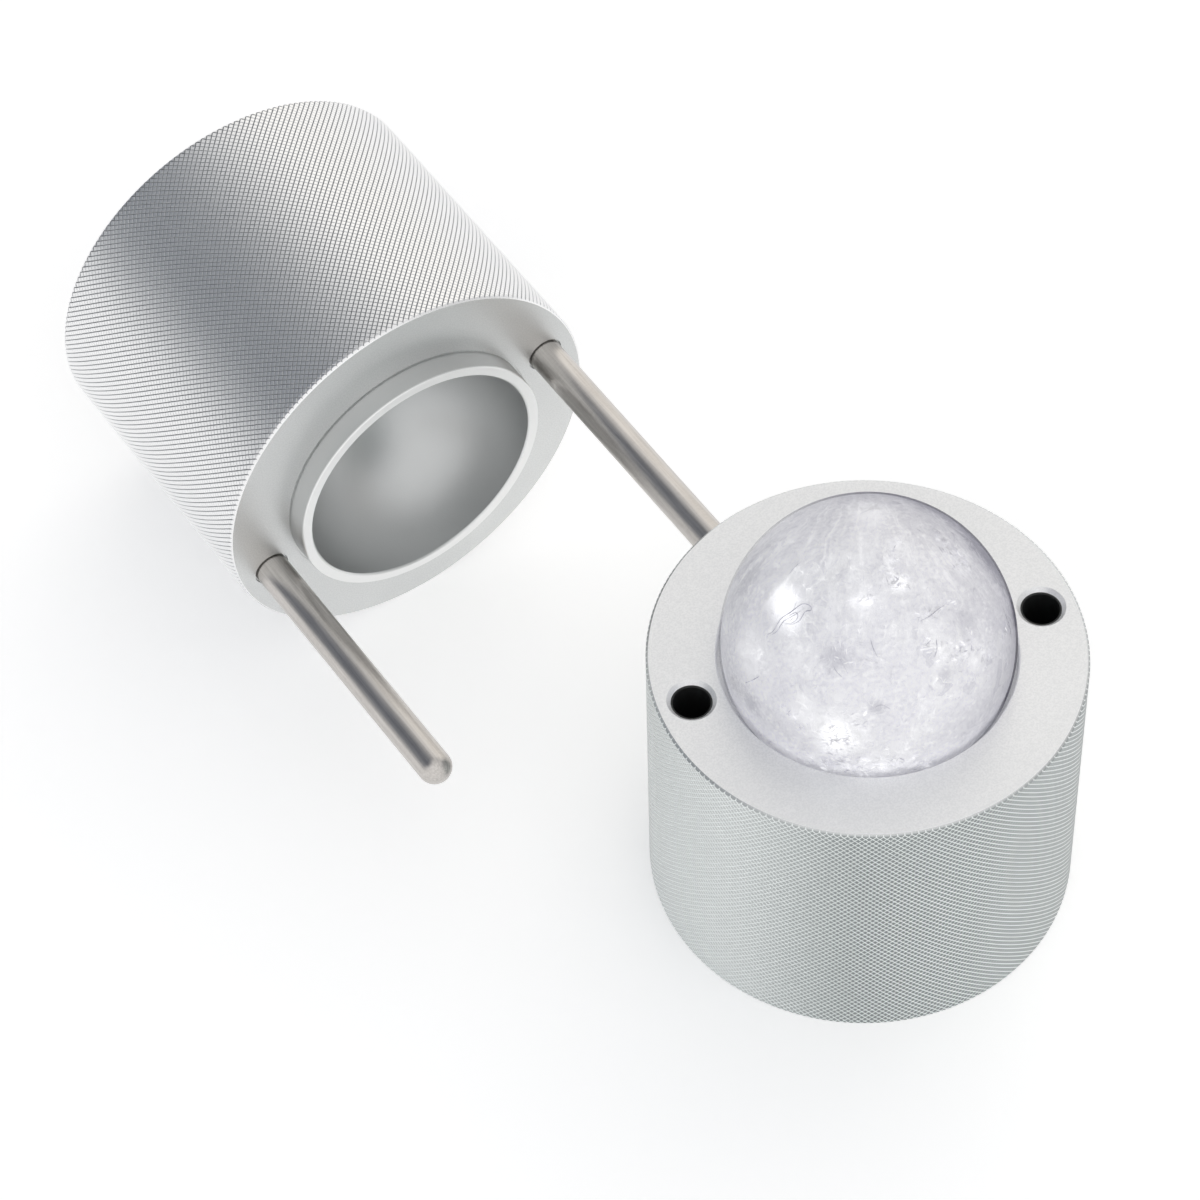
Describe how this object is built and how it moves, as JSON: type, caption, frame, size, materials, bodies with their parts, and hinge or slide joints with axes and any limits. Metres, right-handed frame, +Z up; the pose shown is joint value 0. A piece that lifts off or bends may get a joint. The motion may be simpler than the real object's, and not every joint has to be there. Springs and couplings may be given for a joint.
{
  "type": "ice ball press",
  "caption": "Two-part round metal press that melts an ice block into a ball, with a knurled lower and upper half, guide rods and guide bores, shown open with a ball in its seat.",
  "frame": {"origin": "centre of the lower half's base", "axes": "+Z up along the lower half's axis, the two guide bores lie on the X axis, and the upper half lies behind on the +Y side"},
  "size_m": [0.1903, 0.2354, 0.1104],
  "materials": {
    "mould_aluminium": "bead-blasted and clear anodised, with a fine diamond knurl round the side",
    "rod_steel": "ground and polished stainless",
    "bush_liner": "matte black low-friction liner",
    "ice": "clouded ice with cracks and bright flakes"
  },
  "bodies": {
    "lower": {"lower_mould": "mould_aluminium", "left_guide_bush": "bush_liner", "right_guide_bush": "bush_liner"},
    "upper": {"upper_mould": "mould_aluminium", "left_guide_rod": "rod_steel", "right_guide_rod": "rod_steel"},
    "ball": {"ice_ball": "ice"}
  },
  "joints": [
    {"name": "swing_over", "type": "hinge", "parent": "lower", "child": "upper", "pos_m": [-0.03747, 0.05138, 0.10809], "axis": [-0.2067, 0.6762, 0.7071], "range_deg": [0, 180]},
    {"name": "ball_lift", "type": "slide", "parent": "lower", "child": "ball", "axis": [0, 0, 1], "range_m": [0, 0.04]}
  ]
}
